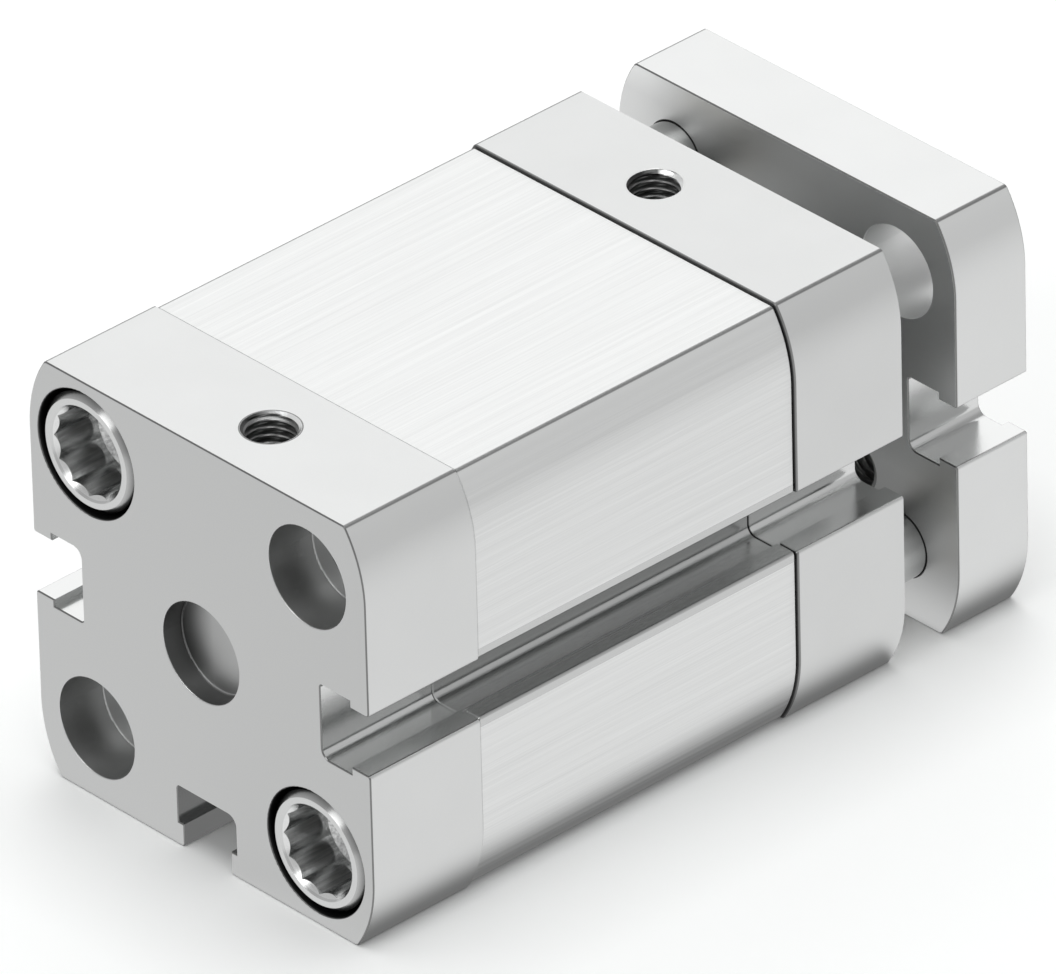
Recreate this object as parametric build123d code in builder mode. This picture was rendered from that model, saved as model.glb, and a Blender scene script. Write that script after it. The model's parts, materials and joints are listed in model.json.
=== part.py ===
from build123d import *
from math import cos, radians, sin, sqrt
import os

os.makedirs("parts", exist_ok=True)

# Guided compact air cylinder with the rod in. X runs along the piston rod from the rear
# face to the yoke plate, Z is up on the port side and the origin is on the axis in the
# rear face. Left and right are as seen from behind, so +Y is on the left.

# Clearances
running_gap = 0.04
seat_gap = 0.02
free_gap = 0.3
register_gap = 0.05
end_gap = 0.1

# Lengths along the axis
stroke = 20.0
cap_length = 12.0
spigot_length = 2.4
plate_gap = 6.0
plate_length = 8.0

# Corner screws: the pattern that the caps, the barrel and the yoke plate share
screw_spacing = 26.0
screw_thread = 8.0
screw_head = 10.6
screw_head_length = 6.0
screw_head_bevel = 0.5
screw_counterbore = 11.4
screw_clearance_hole = 8.4
screw_engagement = 8.0
socket_flats = 7.0
socket_notch = 0.27
socket_mouth = 0.23
socket_depth = 4.4
socket_pilot = 6.8
socket_cone = 0.5
screw_tail_bevel = 0.6

# Outside section of caps and yoke plate
rim_wall = 1.05
corner_radius = 11.7
edge_round = 0.45
rim_break = 0.1
hole_round = 0.1
floor_round = 0.15
barrel_inset = 0.2
barrel_break = 0.2

# Barrel bore and T-slots
bore = 25.0
bore_wall = 1.6
corner_bore = 7.0
slot_mouth = 5.6
slot_width = 6.9
slot_lip = 2.15
slot_small_round = 0.3
slot_large_round = 0.9
slot_mouth_round = 0.3

# Threads that take another part's screw, drawn at their nominal size
mounting_thread = 5.0
port_thread = 5.0

# Holes in the rear face
centring_bore = 9.0
centring_depth = 2.1
through_counterbore = 9.0
through_counterbore_depth = 4.75
through_hole = 5.0

# Air ports and passages
port_depth = 5.5
port_offset = 2.6
port_drop = 3.0
passage = 2.5
passage_height = 9.3
drop_overrun = 0.5

# Cap O-rings and cushion rings
ring_cord = 1.0
ring_groove_width = 1.3
ring_groove_wall = 0.45
cushion_inner = 12.4
cushion_outer = 16.0
cushion_seat = 0.8
cushion_proud = 0.4

# Cup seals: how far the lips lean out past the heel, how thick they are and how deep the
# cup between them is, as shares of the seal's height and length
lip_lean = 0.1
lip_edge = 0.2
cup_depth = 0.55

# Rod guidance in the front cap
rod_diameter = 10.0
rod_bush_wall = 1.0
rod_bush_to_seal = 0.6
rod_seal_outer = 16.0
rod_seal_length = 3.5
rod_seal_setback = 0.4
guide_diameter = 6.0
guide_bush_wall = 1.0
guide_bush_shoulder = 2.0

# Piston
piston_length = 9.2
seal_groove_setback = 0.85
seal_groove_width = 1.95
seal_groove_depth = 1.8
band_width = 2.6
band_depth = 3.7
magnet_outer = 21.8
rod_spigot = 6.0
nut_flats = 10.0
nut_length = 3.2
nut_recess = 12.2
nut_set_in = 0.2
rod_ring_cord = 1.0
rod_ring_groove = 1.3

# Rods and screws at the yoke plate
rod_register = 1.0
rod_bevel = 0.6
yoke_thread = 6.0
yoke_thread_reach = 12.5
yoke_head = 10.0
yoke_head_length = 4.0
yoke_socket = 4.0
yoke_counterbore = 10.6
yoke_counterbore_depth = 4.5
guide_register = 4.0
guide_spare = 3.0
guide_thread = 3.0
guide_thread_reach = 8.0
guide_head = 5.5
guide_head_length = 2.0
guide_socket = 2.0
guide_counterbore = 6.0
guide_counterbore_depth = 2.4
thread_end_room = 1.5
shank_gap = 0.2
head_bevel = 0.3

# Yoke plate
access_hole = 8.2
plate_thread_circle = 22.0
plate_thread = 5.0

# Places along the axis, from the rear face
section_width = screw_spacing + screw_counterbore + 2 * rim_wall
half_section = section_width / 2
half_spacing = screw_spacing / 2
barrel_start = cap_length
piston_start = barrel_start + spigot_length + cushion_proud + end_gap
piston_end = piston_start + piston_length
barrel_end = piston_end + stroke + end_gap + cushion_proud + spigot_length
front_face = barrel_end + cap_length
plate_start = front_face + plate_gap
plate_end = plate_start + plate_length
slot_floor = bore / 2 + bore_wall
slot_lip_floor = half_section - slot_lip

# How close a corner of an outline lies to where it is looked for
touch = 0.01

# Guide rods and rear collar screws share two opposite corners, and the front collar
# screws and the rear through holes share the other two
guide_corners = [(half_spacing, half_spacing), (-half_spacing, -half_spacing)]
open_corners = [(-half_spacing, half_spacing), (half_spacing, -half_spacing)]


def across(x, y=0.0, z=0.0):
    """Plane across the axis at x, looking to the yoke plate, with Y and Z as its X and Y."""
    return Plane(origin=(x, y, z), x_dir=(0, 1, 0), z_dir=(1, 0, 0))


def slot_shape(half_width, large_side):
    """T-slot that opens along local +Y. Its floor has one small and one large corner."""
    mouth = slot_mouth / 2
    wide = slot_width / 2
    with BuildSketch() as slot:
        with BuildLine():
            Polyline(
                (-mouth, half_width),
                (-mouth, slot_lip_floor),
                (-wide, slot_lip_floor),
                (-wide, slot_floor),
                (wide, slot_floor),
                (wide, slot_lip_floor),
                (mouth, slot_lip_floor),
                (mouth, half_width),
                close=True,
            )
        make_face()
        for side, size in ((large_side, slot_large_round), (-large_side, slot_small_round)):
            floor_corner = slot.vertices().group_by(Axis.Y)[0].sort_by(Axis.X)[0 if side < 0 else -1]
            fillet(floor_corner, size)
    return slot.sketch


def section_profile(x, inset=0.0):
    """Cross-section of the housing at x, drawn in from the caps' outline by inset."""
    half_width = half_section - inset
    radius = corner_radius - inset
    arc_centre = half_section - corner_radius
    flat_end = arc_centre + sqrt(radius**2 - (half_width - half_spacing) ** 2)
    with BuildSketch(Plane.YZ.offset(x)) as profile:
        with BuildLine():
            flat = Line((0, half_width), (flat_end, half_width))
            corner = RadiusArc(flat @ 1, (half_width, half_spacing), radius)
            Line(corner @ 1, (half_width, 0))
            mirror(about=Plane.YZ)
            mirror(about=Plane.XZ)
        make_face()
        ridges = [v for v in profile.vertices() if abs(abs(v.X) - flat_end) < touch]
        fillet(ridges, edge_round)
        for turn, large_side in ((90, -1), (-90, -1), (180, 1)):
            add(slot_shape(half_width, large_side), rotation=turn, mode=Mode.SUBTRACT)
        mouths = [
            v
            for v in profile.vertices()
            if abs(max(abs(v.X), abs(v.Y)) - half_width) < touch
            and abs(min(abs(v.X), abs(v.Y)) - slot_mouth / 2) < touch
        ]
        fillet(mouths, slot_mouth_round)
    return profile.sketch


def circles(part, x, *diameters):
    """Circular edges of the part that lie across the axis at x and have these diameters."""
    return [
        edge
        for edge in part.edges().filter_by(GeomType.CIRCLE)
        if abs(edge.arc_center.X - x) < touch
        and any(abs(2 * edge.radius - diameter) < touch for diameter in diameters)
    ]


def ring(x, length, inner, outer):
    """Plain ring about the axis, from x along +X."""
    with BuildPart() as body:
        with BuildSketch(across(x)):
            Circle(outer / 2)
            Circle(inner / 2, mode=Mode.SUBTRACT)
        extrude(amount=length)
    return body.part


def o_ring(x, middle_radius, cord):
    """Round-section ring about the axis, its section centred at x."""
    with BuildPart() as body:
        with BuildSketch(Plane.XZ):
            with Locations((x, middle_radius)):
                Circle(cord / 2)
        revolve(axis=Axis.X)
    return body.part


def lip_seal(heel_x, towards, length, inner, outer):
    """Cup seal about the axis, its heel at heel_x and its open lips facing towards."""
    inner_radius = inner / 2
    outer_radius = outer / 2
    height = outer_radius - inner_radius
    middle = (inner_radius + outer_radius) / 2
    lip_x = heel_x + towards * length
    cup_x = lip_x - towards * length * cup_depth
    with BuildPart() as seal:
        with BuildSketch(Plane.XZ):
            with BuildLine():
                Polyline(
                    (heel_x, inner_radius + height * lip_lean),
                    (lip_x, inner_radius),
                    (lip_x, inner_radius + height * lip_edge),
                    (cup_x, middle),
                    (lip_x, outer_radius - height * lip_edge),
                    (lip_x, outer_radius),
                    (heel_x, outer_radius - height * lip_lean),
                    close=True,
                )
            make_face()
        revolve(axis=Axis.X)
    return seal.part


def socket_screw(head, head_length, thread, reach, socket):
    """Low-head screw, the underside of its head on XY and its shank along -Z."""
    with BuildPart() as screw:
        with BuildSketch():
            Circle(head / 2)
        extrude(amount=head_length)
        chamfer(screw.edges().group_by(Axis.Z)[-1], head_bevel)
        with BuildSketch():
            Circle(thread / 2 - seat_gap)
        extrude(amount=-reach)
        chamfer(screw.edges().group_by(Axis.Z)[0], head_bevel)
        with BuildSketch(Plane.XY.offset(head_length)):
            RegularPolygon(socket / 2, 6, major_radius=False)
        extrude(amount=-head_length / 2, mode=Mode.SUBTRACT)
    return screw.part


def polar(radius, degrees):
    """Point in a sketch at this radius and angle."""
    return radius * cos(radians(degrees)), radius * sin(radians(degrees))


def collar_screw():
    """Hollow corner screw, its head face on XY and its shank along -Z.

    Twelve shallow arcs make the socket, a cone opens its mouth, and the cone of the pilot
    drill leads from its floor into the thread for another part's screw.
    """
    tip_radius = socket_flats / 2 / cos(radians(30))
    notch_radius = tip_radius - socket_notch
    mouth_radius = tip_radius + socket_mouth
    length = cap_length + screw_engagement
    with BuildPart() as screw:
        with BuildSketch():
            Circle(screw_head / 2)
        extrude(amount=-screw_head_length)
        chamfer(screw.edges().group_by(Axis.Z)[-1], screw_head_bevel)
        with BuildSketch(Plane.XY.offset(-screw_head_length)):
            Circle(screw_thread / 2 - seat_gap)
        extrude(amount=screw_head_length - length)
        chamfer(screw.edges().group_by(Axis.Z)[0], screw_tail_bevel)
        with BuildSketch():
            with BuildLine():
                for turn in range(0, 360, 30):
                    ThreePointArc(
                        polar(tip_radius, turn),
                        polar(notch_radius, turn + 15),
                        polar(tip_radius, turn + 30),
                    )
            make_face()
        extrude(amount=-socket_depth, mode=Mode.SUBTRACT)
        for top, wide, bottom, narrow in (
            (0, mouth_radius, notch_radius - mouth_radius, notch_radius),
            (-socket_depth, socket_pilot / 2, -socket_depth - socket_cone, mounting_thread / 2),
        ):
            with BuildSketch(Plane.XZ):
                with BuildLine():
                    Polyline((0, top), (wide, top), (narrow, bottom), (0, bottom), close=True)
                make_face()
            revolve(axis=Axis.Z, mode=Mode.SUBTRACT)
        Hole(mounting_thread / 2)
    return screw.part


def cap_body(inner_face, towards):
    """Cap blank: the full section, and the spigot that enters the barrel.

    The cap runs away from inner_face against towards, and the spigot with its O-ring
    groove and the cushion ring's seat runs along towards.
    """
    outer_face = inner_face - towards * cap_length
    spigot_face = inner_face + towards * spigot_length
    spigot_radius = bore / 2 - register_gap
    groove_start = inner_face + towards * ring_groove_wall
    groove_floor = spigot_radius - ring_cord
    with BuildPart() as cap:
        extrude(section_profile(min(inner_face, outer_face)), amount=cap_length)
        for end in (0, -1):
            chamfer(cap.faces().sort_by(Axis.X)[end].outer_wire().edges(), rim_break)
        with BuildSketch(across(inner_face)):
            Circle(spigot_radius)
        extrude(amount=towards * spigot_length)
        with BuildSketch(across(groove_start)):
            Circle(spigot_radius)
            Circle(groove_floor, mode=Mode.SUBTRACT)
        extrude(amount=towards * ring_groove_width, mode=Mode.SUBTRACT)
        with BuildSketch(across(spigot_face)):
            Circle(cushion_outer / 2 + seat_gap)
            Circle(cushion_inner / 2 - seat_gap, mode=Mode.SUBTRACT)
        extrude(amount=-towards * cushion_seat, mode=Mode.SUBTRACT)
    return cap.part


def air_way(port_x, port_y, spigot_face):
    """Threaded port on the top face, and its drilled way down and out of the spigot."""
    port_floor = half_section - port_depth
    with BuildPart() as way:
        with BuildSketch(Plane.XY.offset(half_section)):
            with Locations((port_x, port_y)):
                Circle(port_thread / 2)
        extrude(amount=-port_depth)
        with BuildSketch(Plane.XY.offset(port_floor)):
            with Locations((port_x, port_y)):
                Circle(port_drop / 2)
        extrude(amount=passage_height - passage / 2 - drop_overrun - port_floor)
        with BuildSketch(across(port_x, port_y, passage_height)):
            Circle(passage / 2)
        extrude(amount=spigot_face - port_x)
    return way.part


# Rear cap
with BuildPart() as rear_cap:
    add(cap_body(barrel_start, 1))
    with BuildSketch(across(0)):
        with Locations(*guide_corners):
            Circle(screw_counterbore / 2)
    extrude(amount=screw_head_length, mode=Mode.SUBTRACT)
    with BuildSketch(across(0)):
        with Locations(*guide_corners):
            Circle(screw_clearance_hole / 2)
        with Locations(*open_corners):
            Circle(through_hole / 2)
    extrude(amount=cap_length, mode=Mode.SUBTRACT)
    with BuildSketch(across(0)):
        with Locations(*open_corners):
            Circle(through_counterbore / 2)
    extrude(amount=through_counterbore_depth, mode=Mode.SUBTRACT)
    with BuildSketch(across(0)):
        Circle(centring_bore / 2)
    extrude(amount=centring_depth, mode=Mode.SUBTRACT)
    rear_port_x = cap_length / 2
    add(air_way(rear_port_x, -port_offset, barrel_start + spigot_length), mode=Mode.SUBTRACT)
    fillet(circles(rear_cap, 0, centring_bore, through_counterbore, screw_counterbore), hole_round)
    fillet(circles(rear_cap, centring_depth, centring_bore), floor_round)
    fillet(circles(rear_cap, through_counterbore_depth, through_counterbore), floor_round)
rear_cap.part.label = "rear_cap"
export_step(rear_cap.part, "parts/rear_cap.step")

# Front cap, with the seats of the rod bush, the rod seal and the guide bushes
rod_bush_outer = rod_diameter + 2 * running_gap + 2 * rod_bush_wall
guide_bush_outer = guide_diameter + 2 * running_gap + 2 * guide_bush_wall
rod_seal_seat = rod_seal_length + rod_seal_setback
rod_bush_length = cap_length - rod_seal_seat - rod_bush_to_seal
guide_bush_length = cap_length - guide_bush_shoulder
with BuildPart() as front_cap:
    add(cap_body(barrel_end, -1))
    with BuildSketch(across(front_face)):
        with Locations(*open_corners):
            Circle(screw_counterbore / 2)
    extrude(amount=-screw_head_length, mode=Mode.SUBTRACT)
    with BuildSketch(across(front_face)):
        with Locations(*open_corners):
            Circle(screw_clearance_hole / 2)
        with Locations(*guide_corners):
            Circle(guide_diameter / 2 + free_gap)
    extrude(amount=-cap_length, mode=Mode.SUBTRACT)
    with BuildSketch(across(front_face)):
        with Locations(*guide_corners):
            Circle(guide_bush_outer / 2 + seat_gap)
    extrude(amount=-guide_bush_length, mode=Mode.SUBTRACT)
    with BuildSketch(across(front_face)):
        Circle(rod_diameter / 2 + free_gap)
    extrude(amount=-cap_length - spigot_length, mode=Mode.SUBTRACT)
    with BuildSketch(across(barrel_end)):
        Circle(rod_bush_outer / 2 + seat_gap)
    extrude(amount=rod_bush_length, mode=Mode.SUBTRACT)
    with BuildSketch(across(front_face)):
        Circle(rod_seal_outer / 2 + seat_gap)
    extrude(amount=-rod_seal_seat, mode=Mode.SUBTRACT)
    front_port_x = front_face - cap_length / 2
    add(air_way(front_port_x, port_offset, barrel_end - spigot_length), mode=Mode.SUBTRACT)
    fillet(circles(front_cap, front_face, screw_counterbore), hole_round)
front_cap.part.label = "front_cap"
export_step(front_cap.part, "parts/front_cap.step")

# Barrel: an extrusion with the piston bore, four corner bores and three T-slots
with BuildPart() as barrel:
    extrude(section_profile(barrel_start, barrel_inset), amount=barrel_end - barrel_start)
    for end in (0, -1):
        chamfer(barrel.faces().sort_by(Axis.X)[end].outer_wire().edges(), barrel_break)
    with BuildSketch(across(barrel_start)):
        Circle(bore / 2)
        with Locations(*guide_corners, *open_corners):
            Circle(corner_bore / 2)
    extrude(amount=barrel_end - barrel_start, mode=Mode.SUBTRACT)
    with BuildSketch(across(barrel_start)):
        with Locations(*guide_corners):
            Circle(screw_thread / 2)
    extrude(amount=screw_engagement, mode=Mode.SUBTRACT)
    with BuildSketch(across(barrel_end)):
        with Locations(*open_corners):
            Circle(screw_thread / 2)
    extrude(amount=-screw_engagement, mode=Mode.SUBTRACT)
barrel.part.label = "barrel"
export_step(barrel.part, "parts/barrel.step")

# Collar screws, which hold the caps to the barrel
with BuildPart() as rear_collar_screws:
    with Locations(*[Plane(origin=(0, y, z), z_dir=(-1, 0, 0)) for y, z in guide_corners]):
        add(collar_screw())
rear_collar_screws.part.label = "rear_collar_screws"
export_step(rear_collar_screws.part, "parts/rear_collar_screws.step")

with BuildPart() as front_collar_screws:
    with Locations(*[across(front_face, y, z) for y, z in open_corners]):
        add(collar_screw())
front_collar_screws.part.label = "front_collar_screws"
export_step(front_collar_screws.part, "parts/front_collar_screws.step")

# O-rings on the spigots
cap_ring_middle = bore / 2 - register_gap / 2 - ring_cord / 2 - seat_gap / 2
ring_from_joint = ring_groove_wall + ring_groove_width / 2
with BuildPart() as rear_cap_o_ring:
    add(o_ring(barrel_start + ring_from_joint, cap_ring_middle, ring_cord))
rear_cap_o_ring.part.label = "rear_cap_o_ring"
export_step(rear_cap_o_ring.part, "parts/rear_cap_o_ring.step")

with BuildPart() as front_cap_o_ring:
    add(o_ring(barrel_end - ring_from_joint, cap_ring_middle, ring_cord))
front_cap_o_ring.part.label = "front_cap_o_ring"
export_step(front_cap_o_ring.part, "parts/front_cap_o_ring.step")

# Cushion rings, seated in the spigot faces and standing a little proud of them
cushion_length = cushion_seat + cushion_proud
rear_cushion_start = barrel_start + spigot_length - cushion_seat
front_cushion_start = barrel_end - spigot_length - cushion_proud
with BuildPart() as rear_cushion_ring:
    add(ring(rear_cushion_start, cushion_length, cushion_inner, cushion_outer))
rear_cushion_ring.part.label = "rear_cushion_ring"
export_step(rear_cushion_ring.part, "parts/rear_cushion_ring.step")

with BuildPart() as front_cushion_ring:
    add(ring(front_cushion_start, cushion_length, cushion_inner, cushion_outer))
front_cushion_ring.part.label = "front_cushion_ring"
export_step(front_cushion_ring.part, "parts/front_cushion_ring.step")

# Rod bush and rod seal
with BuildPart() as rod_bush:
    add(ring(barrel_end, rod_bush_length, rod_diameter + 2 * running_gap, rod_bush_outer))
rod_bush.part.label = "rod_bush"
export_step(rod_bush.part, "parts/rod_bush.step")

with BuildPart() as rod_seal:
    seal_front = front_face - rod_seal_setback
    rod_seal_inner = rod_diameter + 2 * running_gap
    add(lip_seal(seal_front, -1, rod_seal_length, rod_seal_inner, rod_seal_outer))
rod_seal.part.label = "rod_seal"
export_step(rod_seal.part, "parts/rod_seal.step")


def guide_bush(y, z):
    """Plain bush for one guide rod, flush with the front face."""
    with BuildPart() as bush:
        with BuildSketch(across(front_face, y, z)):
            Circle(guide_bush_outer / 2)
            Circle(guide_diameter / 2 + running_gap, mode=Mode.SUBTRACT)
        extrude(amount=-guide_bush_length)
    return bush.part


with BuildPart() as guide_bush_upper:
    add(guide_bush(*guide_corners[0]))
guide_bush_upper.part.label = "guide_bush_upper"
export_step(guide_bush_upper.part, "parts/guide_bush_upper.step")

with BuildPart() as guide_bush_lower:
    add(guide_bush(*guide_corners[1]))
guide_bush_lower.part.label = "guide_bush_lower"
export_step(guide_bush_lower.part, "parts/guide_bush_lower.step")

# Piston halves: each has one seal groove, and together they hold the magnet and wear ring
piston_radius = bore / 2 - free_gap
piston_joint = (piston_start + piston_end) / 2
half_piston = piston_length / 2
seal_outer = bore - 2 * running_gap
seal_inner = 2 * (piston_radius - seal_groove_depth) + 2 * seat_gap
band_floor = piston_radius - band_depth


def piston_half(outer_face, towards):
    """Half of the piston, from outer_face along towards to the joint."""
    with BuildPart() as half:
        with BuildSketch(across(outer_face)):
            Circle(piston_radius)
            Circle(rod_spigot / 2 + seat_gap, mode=Mode.SUBTRACT)
        extrude(amount=towards * half_piston)
        with BuildSketch(across(outer_face + towards * seal_groove_setback)):
            Circle(piston_radius)
            Circle(piston_radius - seal_groove_depth, mode=Mode.SUBTRACT)
        extrude(amount=towards * seal_groove_width, mode=Mode.SUBTRACT)
        with BuildSketch(across(piston_joint)):
            Circle(piston_radius)
            Circle(band_floor, mode=Mode.SUBTRACT)
        extrude(amount=-towards * band_width / 2, mode=Mode.SUBTRACT)
    return half.part


with BuildPart() as piston_rear_half:
    add(piston_half(piston_start, 1))
    with BuildSketch(across(piston_start)):
        Circle(nut_recess / 2)
    extrude(amount=nut_length + nut_set_in, mode=Mode.SUBTRACT)
piston_rear_half.part.label = "piston_rear_half"
export_step(piston_rear_half.part, "parts/piston_rear_half.step")

rod_ring_x = piston_end - piston_length / 4
with BuildPart() as piston_front_half:
    add(piston_half(piston_end, -1))
    with BuildSketch(across(rod_ring_x)):
        Circle(rod_spigot / 2 + rod_ring_cord)
    extrude(amount=rod_ring_groove / 2, both=True, mode=Mode.SUBTRACT)
piston_front_half.part.label = "piston_front_half"
export_step(piston_front_half.part, "parts/piston_front_half.step")

seal_length = seal_groove_width - 2 * seat_gap
seal_heel = seal_groove_setback + seal_groove_width - seat_gap
with BuildPart() as piston_rear_seal:
    add(lip_seal(piston_start + seal_heel, -1, seal_length, seal_inner, seal_outer))
piston_rear_seal.part.label = "piston_rear_seal"
export_step(piston_rear_seal.part, "parts/piston_rear_seal.step")

with BuildPart() as piston_front_seal:
    add(lip_seal(piston_end - seal_heel, 1, seal_length, seal_inner, seal_outer))
piston_front_seal.part.label = "piston_front_seal"
export_step(piston_front_seal.part, "parts/piston_front_seal.step")

band_start = piston_joint - band_width / 2 + seat_gap
band_length = band_width - 2 * seat_gap
with BuildPart() as piston_magnet:
    add(ring(band_start, band_length, 2 * band_floor + 2 * seat_gap, magnet_outer))
piston_magnet.part.label = "piston_magnet"
export_step(piston_magnet.part, "parts/piston_magnet.step")

with BuildPart() as piston_wear_ring:
    add(ring(band_start, band_length, magnet_outer + 2 * seat_gap, seal_outer))
piston_wear_ring.part.label = "piston_wear_ring"
export_step(piston_wear_ring.part, "parts/piston_wear_ring.step")

# Piston rod: its thin tail passes through the piston to the nut
rod_end = plate_start + rod_register
with BuildPart() as piston_rod:
    with BuildSketch(across(piston_end)):
        Circle(rod_diameter / 2)
    extrude(amount=rod_end - piston_end)
    chamfer(piston_rod.edges().group_by(Axis.X)[-1], rod_bevel)
    with BuildSketch(across(piston_end)):
        Circle(rod_spigot / 2)
    extrude(amount=nut_set_in - piston_length)
    chamfer(piston_rod.edges().group_by(Axis.X)[0], rod_bevel)
    yoke_floor = plate_end - yoke_counterbore_depth
    thread_floor = yoke_floor - yoke_thread_reach - thread_end_room
    with BuildSketch(across(rod_end)):
        Circle(yoke_thread / 2)
    extrude(amount=thread_floor - rod_end, mode=Mode.SUBTRACT)
piston_rod.part.label = "piston_rod"
export_step(piston_rod.part, "parts/piston_rod.step")

with BuildPart() as rod_o_ring:
    add(o_ring(rod_ring_x, rod_spigot / 2 + rod_ring_cord / 2, rod_ring_cord - seat_gap))
rod_o_ring.part.label = "rod_o_ring"
export_step(rod_o_ring.part, "parts/rod_o_ring.step")

with BuildPart() as piston_nut:
    with BuildSketch(across(piston_start + nut_set_in)):
        RegularPolygon(nut_flats / 2, 6, major_radius=False)
        Circle(rod_spigot / 2 + seat_gap, mode=Mode.SUBTRACT)
    extrude(amount=nut_length)
piston_nut.part.label = "piston_nut"
export_step(piston_nut.part, "parts/piston_nut.step")

# Yoke plate
with BuildPart() as yoke_plate:
    extrude(section_profile(plate_start), amount=plate_length)
    for end in (0, -1):
        chamfer(yoke_plate.faces().sort_by(Axis.X)[end].outer_wire().edges(), rim_break)
    with BuildSketch(across(plate_start)):
        Circle(yoke_thread / 2 + shank_gap)
        with Locations(*guide_corners):
            Circle(guide_thread / 2 + shank_gap)
        with Locations(*open_corners):
            Circle(access_hole / 2)
        with PolarLocations(plate_thread_circle / 2, 4, start_angle=45):
            Circle(plate_thread / 2)
    extrude(amount=plate_length, mode=Mode.SUBTRACT)
    with BuildSketch(across(plate_start)):
        Circle(rod_diameter / 2 + register_gap)
    extrude(amount=rod_register, mode=Mode.SUBTRACT)
    with BuildSketch(across(plate_start)):
        with Locations(*guide_corners):
            Circle(guide_diameter / 2 + register_gap)
    extrude(amount=guide_register, mode=Mode.SUBTRACT)
    with BuildSketch(across(plate_end)):
        Circle(yoke_counterbore / 2)
    extrude(amount=-yoke_counterbore_depth, mode=Mode.SUBTRACT)
    with BuildSketch(across(plate_end)):
        with Locations(*guide_corners):
            Circle(guide_counterbore / 2)
    extrude(amount=-guide_counterbore_depth, mode=Mode.SUBTRACT)
    fillet(circles(yoke_plate, plate_start, access_hole), hole_round)
    fillet(circles(yoke_plate, plate_end, access_hole, yoke_counterbore, guide_counterbore), hole_round)
yoke_plate.part.label = "yoke_plate"
export_step(yoke_plate.part, "parts/yoke_plate.step")

with BuildPart() as yoke_screw:
    with Locations(across(yoke_floor)):
        add(socket_screw(yoke_head, yoke_head_length, yoke_thread, yoke_thread_reach, yoke_socket))
yoke_screw.part.label = "yoke_screw"
export_step(yoke_screw.part, "parts/yoke_screw.step")

# Guide rods, long enough to stay in their bushes with the rod out
guide_tail = guide_bush_length + stroke + guide_spare
guide_floor = plate_end - guide_counterbore_depth
guide_front = plate_start + guide_register
guide_rear = front_face - guide_tail


def guide_rod(y, z):
    """Ground guide rod, threaded inside its front end for the screw."""
    with BuildPart() as rod:
        with BuildSketch(across(guide_rear, y, z)):
            Circle(guide_diameter / 2)
        extrude(amount=guide_front - guide_rear)
        chamfer(rod.edges().group_by(Axis.X)[0], rod_bevel)
        with BuildSketch(across(guide_front, y, z)):
            Circle(guide_thread / 2)
        thread_floor = guide_floor - guide_thread_reach - thread_end_room
        extrude(amount=thread_floor - guide_front, mode=Mode.SUBTRACT)
    return rod.part


with BuildPart() as guide_rod_upper:
    add(guide_rod(*guide_corners[0]))
guide_rod_upper.part.label = "guide_rod_upper"
export_step(guide_rod_upper.part, "parts/guide_rod_upper.step")

with BuildPart() as guide_rod_lower:
    add(guide_rod(*guide_corners[1]))
guide_rod_lower.part.label = "guide_rod_lower"
export_step(guide_rod_lower.part, "parts/guide_rod_lower.step")

with BuildPart() as guide_rod_screws:
    with Locations(*[across(guide_floor, y, z) for y, z in guide_corners]):
        add(socket_screw(guide_head, guide_head_length, guide_thread, guide_thread_reach, guide_socket))
guide_rod_screws.part.label = "guide_rod_screws"
export_step(guide_rod_screws.part, "parts/guide_rod_screws.step")

print("housing length", round(front_face, 3))
print("overall length", round(plate_end, 3))
print("section width", round(section_width, 3))
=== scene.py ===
# %% [markdown]
# # A guided compact air cylinder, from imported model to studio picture
# The cylinder comes from the CAD model with every piece at its real size and place. This
# lesson gives each piece its finish, cuts the screw threads that the model draws as plain
# holes, and sets up the studio. All lengths are in metres, in the model's own frame: X runs
# from the rear face to the yoke plate and Z points up through the air ports.

# %% Load the frame
import json
from math import cos, pi, radians, sin, sqrt

import bpy
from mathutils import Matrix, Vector


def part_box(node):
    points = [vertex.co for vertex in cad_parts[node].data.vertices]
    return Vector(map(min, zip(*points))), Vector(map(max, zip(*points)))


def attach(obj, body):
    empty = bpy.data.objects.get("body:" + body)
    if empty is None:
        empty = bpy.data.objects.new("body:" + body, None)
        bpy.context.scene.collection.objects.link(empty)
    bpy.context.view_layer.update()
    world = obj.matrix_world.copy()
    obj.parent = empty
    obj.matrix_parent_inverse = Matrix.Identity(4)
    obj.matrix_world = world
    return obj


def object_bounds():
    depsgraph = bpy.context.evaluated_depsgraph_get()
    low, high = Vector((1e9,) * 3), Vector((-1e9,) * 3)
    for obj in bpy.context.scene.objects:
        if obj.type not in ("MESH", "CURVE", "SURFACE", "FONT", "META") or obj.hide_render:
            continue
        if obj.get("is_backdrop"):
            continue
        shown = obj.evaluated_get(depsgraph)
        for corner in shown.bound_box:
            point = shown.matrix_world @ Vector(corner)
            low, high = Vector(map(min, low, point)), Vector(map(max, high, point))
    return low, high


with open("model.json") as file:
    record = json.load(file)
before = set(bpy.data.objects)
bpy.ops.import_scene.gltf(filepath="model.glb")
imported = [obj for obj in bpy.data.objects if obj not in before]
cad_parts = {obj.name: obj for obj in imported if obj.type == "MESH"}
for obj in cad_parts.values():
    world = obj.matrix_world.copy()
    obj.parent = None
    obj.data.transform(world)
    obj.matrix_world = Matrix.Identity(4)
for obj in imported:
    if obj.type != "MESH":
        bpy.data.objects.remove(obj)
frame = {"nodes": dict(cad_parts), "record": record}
nodes = frame["nodes"]
cad_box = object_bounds()
mm = 0.001
print("pieces in the frame:", len(nodes))

# %% [markdown]
# The finishes and the threads need a few places on the cylinder. They are read from the
# frame, so that they follow the CAD model: where the end faces lie, how wide the section is,
# and where the holes stand.

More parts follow.
